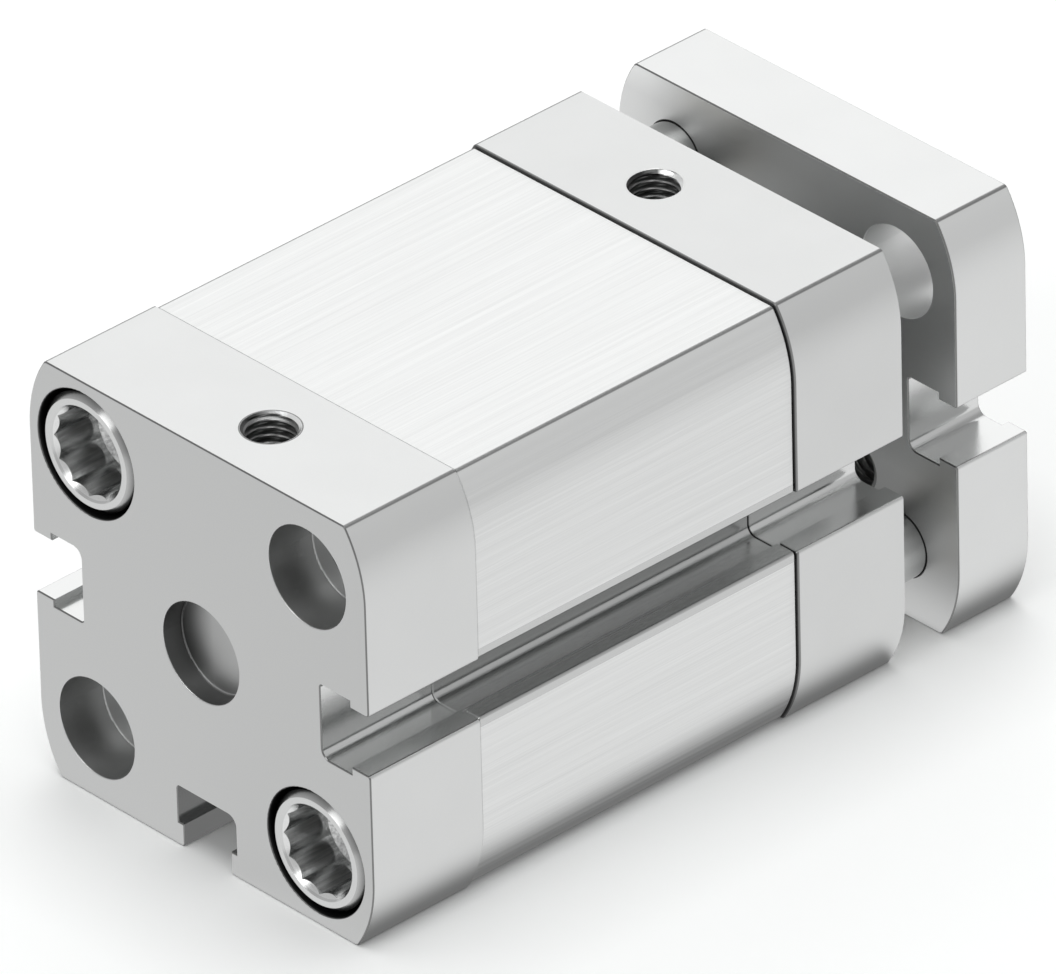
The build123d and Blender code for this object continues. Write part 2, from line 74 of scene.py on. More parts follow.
# %% Measure the frame
middle = (cad_box[0] + cad_box[1]) / 2
rear_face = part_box("rear_cap")[0].x
front_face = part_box("front_cap")[1].x
half_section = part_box("front_cap")[1].z
plate_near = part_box("yoke_plate")[0].x
plate_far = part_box("yoke_plate")[1].x
mounts = {mount["name"]: mount for mount in frame["record"]["mounts"]}


def hole(name):
    """Place, radius and length of a hole that the frame's record lists."""
    mount = mounts[name]
    return Vector(mount["pos_m"]), mount["dims"]["r_mm"] * mm, mount["dims"]["length_mm"] * mm


corner = hole("rear_thread_upper")[0].y
half_length = (rear_face + front_face) / 2
barrel_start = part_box("barrel")[0].x
barrel_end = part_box("barrel")[1].x
barrel_inset = half_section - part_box("barrel")[1].z
print("section", round(2 * half_section / mm, 2), "mm, corner holes at", round(corner / mm, 2), "mm")

# %% [markdown]
# ## Arithmetic with sockets
# A finish or a generated shape is a network of nodes. Written as plain node calls it would
# fill pages, so `Network` makes any node from its type, its settings and its inputs, and
# `Amount` wraps a number socket and turns `a * 2 + b` into Math nodes. `Finish` starts a
# material with them, and gives it the place on the cylinder, from Object coordinates.


# %% Amounts
class Amount:
    """A number somewhere in a network, used in ordinary arithmetic."""

    def __init__(self, network, socket):
        self.network = network
        self.socket = socket

    def maths(self, operation, *terms, clamp=False):
        settings = {"operation": operation, "use_clamp": clamp}
        made = self.network.node("ShaderNodeMath", settings, dict(enumerate(terms)))
        return Amount(self.network, made.outputs[0])

    def __add__(self, other):
        return self.maths("ADD", self, other)

    def __sub__(self, other):
        return self.maths("SUBTRACT", self, other)

    def __rsub__(self, other):
        return self.maths("SUBTRACT", other, self)

    def __mul__(self, other):
        return self.maths("MULTIPLY", self, other)

    def __truediv__(self, other):
        return self.maths("DIVIDE", self, other)

    def __pow__(self, other):
        return self.maths("POWER", self, other)

    def __abs__(self):
        return self.maths("ABSOLUTE", self)

    __radd__ = __add__
    __rmul__ = __mul__

    def limited(self):
        """The amount, kept between 0 and 1."""
        return self.maths("ADD", self, 0.0, clamp=True)

    def fraction(self):
        return self.maths("FRACT", self)

    def at_least(self, other):
        return self.maths("MAXIMUM", self, other)

    def at_most(self, other):
        return self.maths("MINIMUM", self, other)

    def stretched(self, times):
        """An amount around one half with times its contrast, kept between 0 and 1."""
        return ((self - 0.5) * times + 0.5).limited()

    def above(self, edge, softness=0.02 * mm):
        """1 where the amount is over edge, 0 where it is under, soft across softness."""
        return ((self - edge) / softness + 0.5).limited()

    def below(self, edge, softness=0.02 * mm):
        """1 where the amount is under edge, 0 where it is over, soft across softness."""
        return ((edge - self) / softness + 0.5).limited()

    def between(self, low, high, softness=0.02 * mm):
        """1 from low to high, 0 outside, soft across softness."""
        return self.above(low, softness) * self.below(high, softness)


# %% Network
class Network:
    """Makes and links the nodes of one tree."""

    def __init__(self, tree):
        self.tree = tree

    def node(self, kind, settings, inputs):
        made = self.tree.nodes.new(kind)
        for key, value in settings.items():
            setattr(made, key, value)
        for key, value in inputs.items():
            self.feed(made.inputs[key], value)
        return made

    def feed(self, socket, value):
        if isinstance(value, Amount):
            value = value.socket
        if isinstance(value, bpy.types.NodeSocket):
            self.tree.links.new(value, socket)
        else:
            socket.default_value = value

    def split(self, vector):
        parts = self.node("ShaderNodeSeparateXYZ", {}, {0: vector})
        return [Amount(self, output) for output in parts.outputs]


# %% Finish
class Finish(Network):
    """A material under construction, ending in one Principled shader."""

    def __init__(self, name, metallic, **fixed):
        self.material = bpy.data.materials.new(name)
        self.material.use_nodes = True
        super().__init__(self.material.node_tree)
        self.tree.nodes.clear()
        self.shader = self.node("ShaderNodeBsdfPrincipled", {}, {"Metallic": metallic, **fixed})
        self.output = self.node("ShaderNodeOutputMaterial", {}, {"Surface": self.shader.outputs[0]})
        self.place = self.node("ShaderNodeTexCoord", {}, {}).outputs["Object"]
        self.x, self.y, self.z = self.split(self.place)

    def grain(self, cell, detail=3.0, roughness=0.5):
        """Noise from 0 to 1 whose cells measure cell = (x, y, z) metres."""
        scale = tuple(1 / size for size in cell)
        fitted = self.node("ShaderNodeMapping", {}, {"Vector": self.place, "Scale": scale})
        sizes = {"Vector": fitted.outputs[0], "Scale": 1.0, "Detail": detail, "Roughness": roughness}
        noise = self.node("ShaderNodeTexNoise", {}, sizes)
        return Amount(self, noise.outputs["Fac"])

    def away_from(self, y, z):
        """Distance from the line along X through y, z."""
        return ((self.y - y) ** 2 + (self.z - z) ** 2) ** 0.5

    def away_from_port(self, place):
        """Distance from the upright axis through an air port."""
        return ((self.x - place.x) ** 2 + (self.y - place.y) ** 2) ** 0.5

    def blend(self, share, first, second):
        """Colour that goes from first to second as share goes from 0 to 1."""
        settings = {"data_type": "RGBA", "clamp_factor": True}
        mixed = self.node("ShaderNodeMix", settings, {0: share, 6: first, 7: second})
        return mixed.outputs[2]

    def coats(self, skin, layers):
        """Lays tones over a skin, each where its mask is 1, the later ones on top."""
        for mask, tone in layers:
            colour = grey(tone) if isinstance(tone, float) else tone
            skin = self.blend(mask, skin, colour)
        return skin

    def paint(self, colour, roughness, height, depth):
        """Sets the colour, the roughness and a relief of height 0 to 1 over depth metres."""
        self.feed(self.shader.inputs["Base Color"], colour)
        self.feed(self.shader.inputs["Roughness"], roughness)
        relief = {"Height": height, "Distance": depth, "Strength": 1.0}
        bump = self.node("ShaderNodeBump", {}, relief)
        self.feed(self.shader.inputs["Normal"], bump.outputs[0])
        return self.material


def grey(level):
    """A neutral colour with the faint green-blue that clear anodising has."""
    return (level * 0.99, level, level * 0.995, 1.0)


# %% [markdown]
# ## Satin aluminium of the caps and the yoke plate
# The caps have the barrel's outline, milled all round and clear anodised. That leaves an even
# satin skin with a grain too fine to see as more than a soft tone. Some places differ, most of
# them by painted light and shade. The end faces keep a fine milled grain and are painted darker
# as painted shade, and the T-slots take one even tone. The bored holes, the broken edges, the
# rims and the hairline gaps at the joints and round the screws are painted dark as painted
# shade. The plate's back is painted lighter rightwards in its upper part and darker below, as
# painted light and shade. A painted dark line on each ridge stands for the reflection of the grey
# room, and a painted highlight lightens the last of the arched sides. A painted image could carry
# them all. Here a mask picks each one by its place on the cylinder, which stays sharp from near
# and needs no image.


# %% Slots and ridges
slot_half_width = 3.7 * mm
slot_floor = 13.9 * mm
arc_y = 8.05 * mm
arc_z = 13 * mm
arc_radius = 11.7 * mm
ridge_reach = 0.19 * mm
arch_brightens_at = 18.2 * mm


def in_slot(finish):
    """1 inside the T-slots at both sides and below, 0 outside them."""
    mouth = half_section - 0.15 * mm
    side = abs(finish.z).below(slot_half_width) * abs(finish.y).between(slot_floor, mouth, 0.1 * mm)
    under = abs(finish.y).below(slot_half_width) * finish.z.between(-mouth, -slot_floor, 0.1 * mm)
    return (side + under).limited()


def on_ridge(finish, inset=0.0):
    """1 on the narrow rounds where the flats above and below meet the arched sides; a painted dark
    line there stands for the reflection of the grey room.
    """
    top = half_section - inset
    ridge_y = arc_y + sqrt((arc_radius - inset) ** 2 - (top - arc_z) ** 2)
    apart = ((abs(finish.y) - ridge_y) ** 2 + (abs(finish.z) - top) ** 2) ** 0.5
    return apart.below(ridge_reach, 0.10 * mm)


def painted_arch_highlight(finish, inset=0.0):
    """0 to 1 up the last of the arched sides, towards the flat top, where a painted highlight
    lightens them.
    """
    top = half_section - inset
    return finish.z.above(arch_brightens_at, 2 * mm) * finish.z.below(top - 0.06 * mm, 0.05 * mm)


print("mask of the slots:", round(2 * slot_half_width / mm, 2), "mm wide")


# %% Corner holes
recess_radius = 4.55 * mm
head_gap_radius = 5.75 * mm
beside_head_gap = 6.2 * mm
beside_centring_bore = 5.4 * mm
rod_seat_radius = 3.12 * mm
rim_width = 0.1 * mm


def from_corner_hole(finish):
    """Distance from the axis of the nearest of the four corner holes."""
    return ((abs(finish.y) - corner) ** 2 + (abs(finish.z) - corner) ** 2) ** 0.5


def rear_screw_side(finish):
    """1 round the two corner holes that hold the rear screws, 0 round the other two."""
    return (finish.y * finish.z).above(0.0, 1 * mm ** 2)


print("gaps round the screw heads end at", round(head_gap_radius / mm, 2), "mm")


# %% Places along the axis
def on_end_face(finish, ends):
    """1 on the flat end faces that stand at the given distances along the axis."""
    found = 0.0
    for end in ends:
        found = abs(finish.x - end).below(0.03 * mm) + found
    return found.limited()


def at_end_edge(finish):
    """1 on the broken edge round an end face, 0 elsewhere and round the holes; a dark line is painted
    there as painted shade.
    """
    found = 0.0
    for end in (rear_face, plate_near, plate_far):
        found = abs(finish.x - end).between(0.005 * mm, 0.12 * mm, 0.01 * mm) + found
    beside_corners = from_corner_hole(finish).above(beside_head_gap)
    beside_centre = finish.away_from(0, 0).above(beside_centring_bore)
    return (found * (beside_corners * beside_centre)).limited()


def at_rear_joint(finish):
    """1 in the hairline gap between rear cap and barrel, where the slots cross it; it is painted dark
    there as painted shade.
    """
    return abs(finish.x - barrel_start).below(0.07 * mm, 0.05 * mm) * in_slot(finish)


# %% Painted light and shade on the plate's back and in the holes
plate_back_turns = -9 * mm
plate_back_left = 14 * mm
centring_floor = rear_face + 1.9 * mm
lit_from = 4.4 * mm
lit_over = 3.6 * mm


def painted_plate_back_light_and_shade(finish):
    """The plate's back, painted lighter rightwards in its upper part as painted light, and painted
    darker below as painted shade.
    """
    plate_back = on_end_face(finish, (plate_near,))
    upper = finish.z.above(plate_back_turns, 6 * mm)
    rightwards = ((plate_back_left - finish.y) / (2 * plate_back_left)).limited()
    return [(plate_back * upper * rightwards, 0.88), (plate_back * (1 - upper), 0.60)]


def painted_hole_shade(finish):
    """Painted shade on the walls and floors of the bored holes and in the gaps round the screw heads;
    the centring bore's floor is painted lighter towards one side, as painted light.
    """
    apart = from_corner_hole(finish)
    rear_pair = rear_screw_side(finish)
    rear_half = finish.x.between(rear_face + rim_width, half_length, rim_width)
    front_half = finish.x.between(half_length, front_face - rim_width, rim_width)
    centring = finish.away_from(0, 0).below(recess_radius)
    recess = (apart.below(recess_radius) * (1 - rear_pair) + centring) * rear_half
    bottom = centring * finish.x.between(centring_floor, half_length)
    # Painted light: the centring bore's floor grows lighter towards one side.
    lit = ((lit_from - finish.y) / lit_over).limited()
    # The gaps round the screw heads are painted near black as painted shade.
    head_gap = apart.below(head_gap_radius) * (rear_pair * rear_half + (1 - rear_pair) * front_half)
    return [(recess, 0.52), (centring * rear_half, 0.24),
            (bottom, finish.blend(lit, grey(0.13), grey(0.44))), (head_gap, 0.10)]


# %% Painted shade on the rims and joints
def painted_rim_shade(finish, slot):
    """Painted shade: the dark lines round the screws, the rear port, the front cap and the guide
    rods.
    """
    apart = from_corner_hole(finish)
    rear_pair = rear_screw_side(finish)
    on_rear_face = abs(finish.x - rear_face).below(rim_width)
    screw_rim = apart.between(head_gap_radius - 0.15 * mm, head_gap_radius) * rear_pair * on_rear_face
    port_ring = finish.away_from_port(rear_port).between(2.4 * mm, 2.61 * mm, 0.03 * mm)
    port_rim = port_ring * finish.z.above(half_section - rim_width)
    cap_edge = finish.x.between(barrel_end, barrel_end + 0.19 * mm, 0.06 * mm) * (1 - slot)
    cap_step = abs(finish.x - barrel_end).below(0.04 * mm, 0.04 * mm)
    at_plate = abs(finish.x - plate_near).below(0.3 * mm)
    rod_seat = apart.below(rod_seat_radius) * rear_pair * at_plate
    return [(screw_rim, 0.16), (port_rim, 0.22), (cap_edge, 0.25), (cap_step + rod_seat, 0.10)]


rear_port = hole("rear_port")[0]
print("rear port", round(rear_port.x / mm, 2), "mm from the rear face")


# %% Satin aluminium
def satin_aluminium(name, level):
    """The skin of a cap or the plate, around one level of grey, with the other places on top, most of
    them painted light and shade.
    """
    finish = Finish(name, 1.0)
    fine = finish.grain((0.12 * mm,) * 3)
    broad = finish.grain((6 * mm,) * 3)
    skin = finish.blend(fine * 0.5 + broad * 0.5, grey(level - 0.035), grey(level + 0.035))
    # The end faces: a fine milled grain, painted darker than the skin as painted shade.
    milled_grain_and_shade = finish.blend(fine, grey(0.53), grey(0.59))
    slot = in_slot(finish) * (1 - on_end_face(finish, (rear_face, front_face, plate_near, plate_far)))
    # Painted light and shade over the skin: a painted highlight up the arched sides, painted light
    # and shade on the plate's back, painted shade on the end faces, in the holes and gaps, on the
    # rims and on the broken edges, and a painted dark reflection line on the ridges.
    skin = finish.coats(skin, [
        (painted_arch_highlight(finish), level * 1.14),
        (on_end_face(finish, (rear_face, front_face, plate_far)), milled_grain_and_shade),
        (slot, 0.70),
        *painted_plate_back_light_and_shade(finish),
        (at_rear_joint(finish), 0.12),
        *painted_hole_shade(finish),
        (on_ridge(finish), 0.27),
        (at_end_edge(finish), 0.22),
        *painted_rim_shade(finish, slot),
    ])
    return finish.paint(skin, 0.38 + fine * 0.08 - slot * 0.22, fine, 0.004 * mm)


for node, name, level in (
    ("rear_cap", "satin_aluminium", 0.69),
    ("front_cap", "satin_front_cap", 0.67),
    ("yoke_plate", "satin_plate", 0.735),
):
    nodes[node].material_slots[0].material = satin_aluminium(name, level)
    print("satin aluminium, level", level, "on", node)

# %% [markdown]
# ## Brushed aluminium of the barrel
# The barrel is brushed along its length. Two noises stretched along X make the strokes: long
# faint bands and fine scratches. They shift the tone and the roughness, and the scratches lift
# the surface a little, which spreads highlights across the strokes as real brushing does. The
# slots, the ridges and the joints take their tones through the same masks as the caps: painted
# shade darkens the slots and the joints, a painted dark line on each ridge stands for the
# reflection of the grey room, and a painted highlight lightens the last of the arched sides.


# %% Brushed aluminium
def brushed_aluminium():
    finish = Finish("brushed_aluminium", 1.0)
    bands = finish.grain((300 * mm, 0.5 * mm, 0.5 * mm), detail=4.0, roughness=0.7).stretched(3)
    strokes = finish.grain((12 * mm, 0.11 * mm, 0.11 * mm), detail=4.0, roughness=0.65)
    brushing = bands * 0.5 + strokes.stretched(2) * 0.5
    slot = in_slot(finish)
    # Painted shade at the barrel's front end, beside the front cap.
    shaded_end = finish.x.above(barrel_end - 0.04 * mm, 0.04 * mm)
    # Painted highlight up the arched sides, painted shade in the slots and at the joints, and a
    # painted dark reflection line on the ridges.
    skin = finish.coats(finish.blend(brushing, grey(0.665), grey(0.83)), [
        (painted_arch_highlight(finish, barrel_inset), 0.86),
        (slot, 0.56),
        (on_ridge(finish, barrel_inset), 0.30),
        (shaded_end + at_rear_joint(finish), 0.20),
    ])
    return finish.paint(skin, 0.36 + bands * 0.12 - slot * 0.2, strokes, 0.008 * mm)


nodes["barrel"].material_slots[0].material = brushed_aluminium()
print("brushed aluminium on the barrel")

# %% [markdown]
# ## Steel
# The screws are plated and the rods are ground, so both are shinier than the aluminium. A
# little grain in the roughness keeps them from looking like mirrors. The socket of a collar
# screw carries streaks along it and is painted darker than its face, a painted shade in the
# recess. The bevel round its head is painted darker outwards, a painted shade towards the gap,
# and the rods darken towards the plate, whose shade they stand in.


# %% Plated and ground steel
socket_radius = 4.2 * mm
bevel_start = 4.8 * mm


def plated_steel():
    finish = Finish("plated_steel", 1.0)
    marks = finish.grain((0.25 * mm,) * 3)
    apart = from_corner_hole(finish)
    inside = finish.x.between(rear_face + 0.5 * mm, front_face - 0.5 * mm)
    # The socket: streaks along it, painted darker than the head as painted shade in the recess.
    socket_shade = apart.below(socket_radius) * inside
    broaching = finish.grain((6 * mm, 0.3 * mm, 0.3 * mm)).stretched(3)
    at_caps = finish.x.below(front_face + 0.2 * mm)
    head = apart.above(socket_radius - 0.1 * mm) * at_caps * (1 - socket_shade)
    # The bevel round the head, painted darker outwards as painted shade towards the gap.
    outwards = ((apart - bevel_start) / (0.5 * mm)).limited()
    bevel = apart.above(bevel_start + 0.02 * mm) * at_caps
    skin = finish.coats(finish.blend(marks, grey(0.68), grey(0.76)), [
        (socket_shade, finish.blend(broaching, grey(0.38), grey(0.66))),
        (head, 0.61),
        (bevel, finish.blend(outwards, grey(0.50), grey(0.18))),
    ])
    return finish.paint(skin, 0.18 + marks * 0.06, marks, 0.0008 * mm)


def ground_steel():
    finish = Finish("ground_steel", 1.0)
    rings = finish.grain((0.06 * mm, 2 * mm, 2 * mm))
    skin = finish.blend(rings, grey(0.76), grey(0.84))
    shaded = finish.x.above(plate_near - 1.6 * mm, 3 * mm) * finish.x.below(plate_near)
    skin = finish.blend(shaded, skin, grey(0.35))
    return finish.paint(skin, 0.12 + rings * 0.08, rings, 0.001 * mm)


plated = plated_steel()
ground = ground_steel()
screws = ("rear_collar_screws", "front_collar_screws", "yoke_screw", "guide_rod_screws", "piston_nut")
rods = ("piston_rod", "guide_rod_upper", "guide_rod_lower")
for name in screws:
    nodes[name].material_slots[0].material = plated
for name in rods:
    nodes[name].material_slots[0].material = ground
print("plated steel on", len(screws), "pieces and ground steel on", len(rods))

# %% [markdown]
# ## Inner pieces
# Bushes, piston, seals, magnet and cushion rings are hidden while the cylinder is closed.
# They still get a finish each, because the pieces can be used and looked at one by one. Each
# could have a tree of its own. They differ only in colour, shine and size of grain, so one
# recipe makes them all: a speckle between the colour and a darker one, with a slight relief.


# %% Inner pieces
def speckled(name, colour, roughness, metallic, cell):
    finish = Finish(name, metallic)
    speckle = finish.grain((cell,) * 3)
    dark = tuple(0.8 * part for part in colour) + (1.0,)
    skin = finish.blend(speckle, dark, colour + (1.0,))
    return finish.paint(skin, roughness + speckle * 0.1, speckle, 0.01 * mm)


inner_finishes = [
    (("sintered_bronze", (0.50, 0.44, 0.34), 0.45, 1.0, 0.15 * mm),
     ("rod_bush", "guide_bush_upper", "guide_bush_lower")),
    (("turned_aluminium", (0.74, 0.75, 0.75), 0.30, 1.0, 0.20 * mm),
     ("piston_rear_half", "piston_front_half")),
    (("seal_rubber", (0.03, 0.03, 0.03), 0.55, 0.0, 0.20 * mm),
     ("rod_seal", "piston_rear_seal", "piston_front_seal", "rear_cap_o_ring", "front_cap_o_ring",
      "rod_o_ring")),
    (("cushion_rubber", (0.05, 0.05, 0.055), 0.60, 0.0, 0.30 * mm),
     ("rear_cushion_ring", "front_cushion_ring")),
    (("wear_plastic", (0.86, 0.84, 0.78), 0.50, 0.0, 0.40 * mm), ("piston_wear_ring",)),
    (("ferrite", (0.12, 0.12, 0.12), 0.50, 0.0, 0.10 * mm), ("piston_magnet",)),
]
for recipe, names in inner_finishes:
    material = speckled(*recipe)
    for name in names:
        nodes[name].material_slots[0].material = material
print("finishes on the inner pieces:", len(inner_finishes))

# %% [markdown]
# ## Screw threads
# The model draws a tapped hole as a plain hole of the thread's outer diameter. The thread
# itself is a sleeve that fits into that hole: its inner side is a helical groove, and a short
# cone leads into it. A Geometry Nodes tree bends a flat grid into such a sleeve. One way of
# the grid runs round the hole and the other runs down the thread and back up behind it, so
# the sleeve is closed. The same tree serves every tapped hole, with its own sizes.


# %% The sleeve's tree
class Shape(Network):
    """A Geometry Nodes tree under construction, with named sizes."""

    def __init__(self, name, sizes):
        group = bpy.data.node_groups.new(name, "GeometryNodeTree")
        group.interface.new_socket("Result", in_out="OUTPUT", socket_type="NodeSocketGeometry")
        group.interface.new_socket("Places", in_out="INPUT", socket_type="NodeSocketGeometry")
        for size, kind in sizes.items():
            group.interface.new_socket(size, in_out="INPUT", socket_type="NodeSocket" + kind)
        super().__init__(group)
        self.given = self.node("NodeGroupInput", {}, {})

    def size(self, name):
        return Amount(self, self.given.outputs[name])


sleeve_sizes = {
    "Wall": "Float", "Crest": "Float", "Mouth": "Float", "Far Mouth": "Float", "Depth": "Float",
    "Pitch": "Float", "Start": "Float", "Rows": "Int", "Turn": "Vector", "Finish": "Material",
}


# %% The sleeve's profile
def groove_radius(shape, turn, down):
    """Inner radius at a share of a turn and a distance down, crests cut by the lead-in cones."""
    root_share = 0.125
    flank_share = 0.6
    wall = shape.size("Wall")
    turns = down / shape.size("Pitch") + turn + shape.size("Start")
    ridge = 1 - abs(turns.fraction() * 2 - 1)
    rise = ((ridge - root_share) / flank_share).limited()
    radius = wall - (wall - shape.size("Crest")) * rise
    near_cone = shape.size("Mouth") - down
    far_cone = shape.size("Far Mouth") - (shape.size("Depth") - down)
    return radius.at_least(near_cone).at_least(far_cone).at_most(wall)


def sleeve_tree():
    shape = Shape("thread_sleeve", sleeve_sizes)
    rows = shape.size("Rows")
    columns = 48
    sheet = {"Size X": 1.0, "Size Y": 1.0, "Vertices X": columns + 1, "Vertices Y": rows + 4}
    grid = shape.node("GeometryNodeMeshGrid", {}, sheet)
    across, along, _ = shape.split(shape.node("GeometryNodeInputPosition", {}, {}).outputs[0])
    turn = across + 0.5
    row = (along + 0.5) * (rows + 3)
    depth = shape.size("Depth")
    down = row.at_most(rows) / rows * depth * row.below(rows + 1.5, 0.1)
    behind = row.above(rows + 0.5, 0.1) * row.below(rows + 2.5, 0.1)
    inner = groove_radius(shape, turn, down)
    radius = inner + (shape.size("Wall") + 0.05 * mm - inner) * behind
    angle = turn * (2 * pi)
    around = {"X": radius * angle.maths("COSINE", angle), "Y": radius * angle.maths("SINE", angle),
              "Z": down * -1}
    place = shape.node("ShaderNodeCombineXYZ", {}, around)
    bent = shape.node("GeometryNodeSetPosition", {},
                      {"Geometry": grid.outputs["Mesh"], "Position": place.outputs[0]})
    closed = shape.node("GeometryNodeMergeByDistance", {},
                        {"Geometry": bent.outputs[0], "Distance": 0.0005 * mm})
    corner_angle = shape.node("GeometryNodeInputMeshEdgeAngle", {}, {})
    soft = Amount(shape, corner_angle.outputs["Unsigned Angle"]).below(radians(28), 0.01)
    smooth = shape.node("GeometryNodeSetShadeSmooth", {"domain": "EDGE"},
                        {"Geometry": closed.outputs[0], "Shade Smooth": soft})
    copies = shape.node("GeometryNodeInstanceOnPoints", {},
                        {"Points": shape.given.outputs["Places"], "Instance": smooth.outputs[0],
                         "Rotation": shape.given.outputs["Turn"]})
    real = shape.node("GeometryNodeRealizeInstances", {}, {"Geometry": copies.outputs[0]})
    coated = shape.node("GeometryNodeSetMaterial", {},
                        {"Geometry": real.outputs[0], "Material": shape.given.outputs["Finish"]})
    shape.node("NodeGroupOutput", {}, {"Result": coated.outputs[0]})
    return shape.tree


sleeve = sleeve_tree()
print("nodes in the sleeve's tree:", len(sleeve.nodes))


# %% Cutting the threads
def cut_threads(name, body, slot, places, **sizes):
    """Fits a sleeve at each place, turns the result into a plain mesh and lets it ride."""
    mesh = bpy.data.meshes.new(name)
    mesh.from_pydata(places, [], [])
    made = bpy.data.objects.new(name, mesh)
    bpy.context.scene.collection.objects.link(made)
    maker = made.modifiers.new("sleeve", "NODES")
    maker.node_group = sleeve
    for item in sleeve.interface.items_tree:
        key = item.name.lower().replace(" ", "_")
        if key in sizes:
            maker[item.identifier] = sizes[key]
    graph = bpy.context.evaluated_depsgraph_get()
    grown = bpy.data.meshes.new_from_object(made.evaluated_get(graph))
    grown.materials.clear()
    grown.materials.append(sizes["finish"])
    made.modifiers.remove(maker)
    made.data = grown
    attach(made, body)
    print(name, "faces:", len(grown.polygons), "material:", grown.materials[0].name)


# %% Finishes of the threads
tap_marks = 0.0006 * mm
rightward_x = 0.74
rightward_y = -0.68


def tapped(name, level):
    """A tapped wall, which the light hardly reaches."""
    finish = Finish(name, 1.0)
    marks = finish.grain((0.15 * mm,) * 3)
    skin = finish.blend(marks, grey(level * 0.9), grey(level))
    return finish.paint(skin, 0.34 + marks * 0.08, marks, tap_marks)


def tapped_port(name, place, mouth, lip, left, right, turning):
    """A port's thread, painted dark as painted shade; its lip is painted from dark to light
    rightwards as painted shade and painted highlight; its rim is cap skin.
    """
    finish = Finish(name, 1.0)
    marks = finish.grain((0.12 * mm,) * 3)
    # The lip, painted from dark to light rightwards: painted shade on its left, a painted highlight
    # on its right.
    sideways = (finish.x - place.x) * rightward_x + (finish.y - place.y) * rightward_y
    rightwards = ((sideways / mouth - turning) / (0.5 - turning)).limited()
    on_lip = finish.z.above(half_section - lip)
    on_top = finish.z.above(half_section - 0.02 * mm, 0.01 * mm)
    rim = finish.away_from_port(place).above(mouth) * on_top
    # The thread is painted dark, painted shade inside the port.
    skin = finish.coats(finish.blend(marks, grey(0.22), grey(0.26)), [
        (on_lip, finish.blend(rightwards, grey(left), grey(right))),
        (rim, 0.64),
    ])
    return finish.paint(skin, 0.34 + marks * 0.08 - on_lip * (1 - rim) * 0.08, marks, tap_marks)


tapped_aluminium = tapped("tapped_aluminium", 0.34)
tapped_steel = tapped("tapped_steel", 0.50)
print("finishes for tapped holes:", tapped_aluminium.name, tapped_steel.name)

# %% [markdown]
# The photograph shows both air ports from above. The rear one has a wide lead-in cone and the
# front one a narrow lip, each lighter on its right, and four crests can be counted down each,
# about 0.73 mm apart. The start of each thread is set so that its crests lie where the
# photograph has them. A sleeve is made a hair smaller than its hole, so that the plain wall of
# the hole stays hidden behind it, and a hair lower than the cap's top.

# %% Air ports
row_step = 0.08 * mm
into = 0.003 * mm
clear = 0.02 * mm
crest = 2.1 * mm
port_pitch = 0.725 * mm
# left and right are the lip's painted shade and painted highlight.
for name, mouth, start, lip, left, right, turning in (
    ("rear_port", 2.48 * mm, 0.38, 0.38 * mm, 0.10, 1.00, -0.5),
    ("front_port", 2.32 * mm, -0.08, 0.55 * mm, 0.05, 1.00, 0.1),
):
    place, radius, depth = hole(name)
    top = (place.x, place.y, half_section - into)
    port_finish = tapped_port("tapped_" + name, place, mouth, lip, left, right, turning)
    cut_threads(name + "_thread", "housing", "satin_aluminium", [top], wall=radius - clear,
                crest=crest, mouth=mouth, far_mouth=0.0, depth=depth - 2 * into,
                pitch=port_pitch, start=start, rows=round(depth / row_step), finish=port_finish)

# %% [markdown]
# The yoke plate has four tapped holes for the load, and each hollow collar screw is tapped
# from the floor of its socket to its tail.

# %% Plate threads
thread_pitch = 0.8 * mm
back_cone = 2.2 * mm
front_cone = 2.4 * mm
pattern = mounts["plate_threads"]["dims"]
reach = pattern["pcd_mm"] / 2 * mm * cos(radians(45))
plate_places = [(plate_near + into, y, z) for y in (-reach, reach) for z in (-reach, reach)]
plate_depth = plate_far - plate_near - 2 * into
cut_threads("plate_threads", "rod", "satin_aluminium", plate_places,
            wall=pattern["hole_r_mm"] * mm - clear, crest=crest, mouth=back_cone,
            far_mouth=front_cone, depth=plate_depth, pitch=thread_pitch, start=0.0,
            rows=round(plate_depth / row_step), turn=(0, -pi / 2, 0), finish=tapped_aluminium)

# %% Collar screw threads
_, screw_bore, screw_depth = hole("rear_thread_upper")
screw_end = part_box("rear_collar_screws")[1].x
rear_places = [(screw_end - screw_depth, y, y) for y in (-corner, corner)]
front_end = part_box("front_collar_screws")[0].x
front_places = [(front_end + screw_depth, y, -y) for y in (-corner, corner)]
for name, places, turn in (("rear_screw_threads", rear_places, -pi / 2),
                           ("front_screw_threads", front_places, pi / 2)):
    cut_threads(name, "housing", "plated_steel", places, wall=screw_bore - clear, crest=crest,
                mouth=screw_bore, far_mouth=screw_bore, depth=screw_depth, pitch=thread_pitch,
                start=0.0, rows=round(screw_depth / row_step), turn=(0, turn, 0),
                finish=tapped_steel)

# %% [markdown]
# ## The studio
# A pale floor carries the cylinder and keeps its soft shadow. Metal shows what stands round
# it, so the room matters as much as the lamps: a white sweep stands low round the floor, and
# above it the room is grey. The grey, together with a painted dark line on each ridge, draws the
# darker lines along the rounded edges.
# In the metal the photograph shows no shadow, only plain white. So for mirror rays, which the
# Light Path node tells apart, the floor glows by itself. It is dark in a strip along the
# cylinder, from its rear face forwards, except under the open gap. The strip shades the lower
# rounds of the sides. Far away the floor fades a little.


# %% Floor
floor_half = 6.0
strip_shade = 0.78
strip_half_width = half_section + 1.1 * mm
strip_softness = 3.3 * mm
far_shade = 0.18
far_from = 50 * mm
far_over = 400 * mm


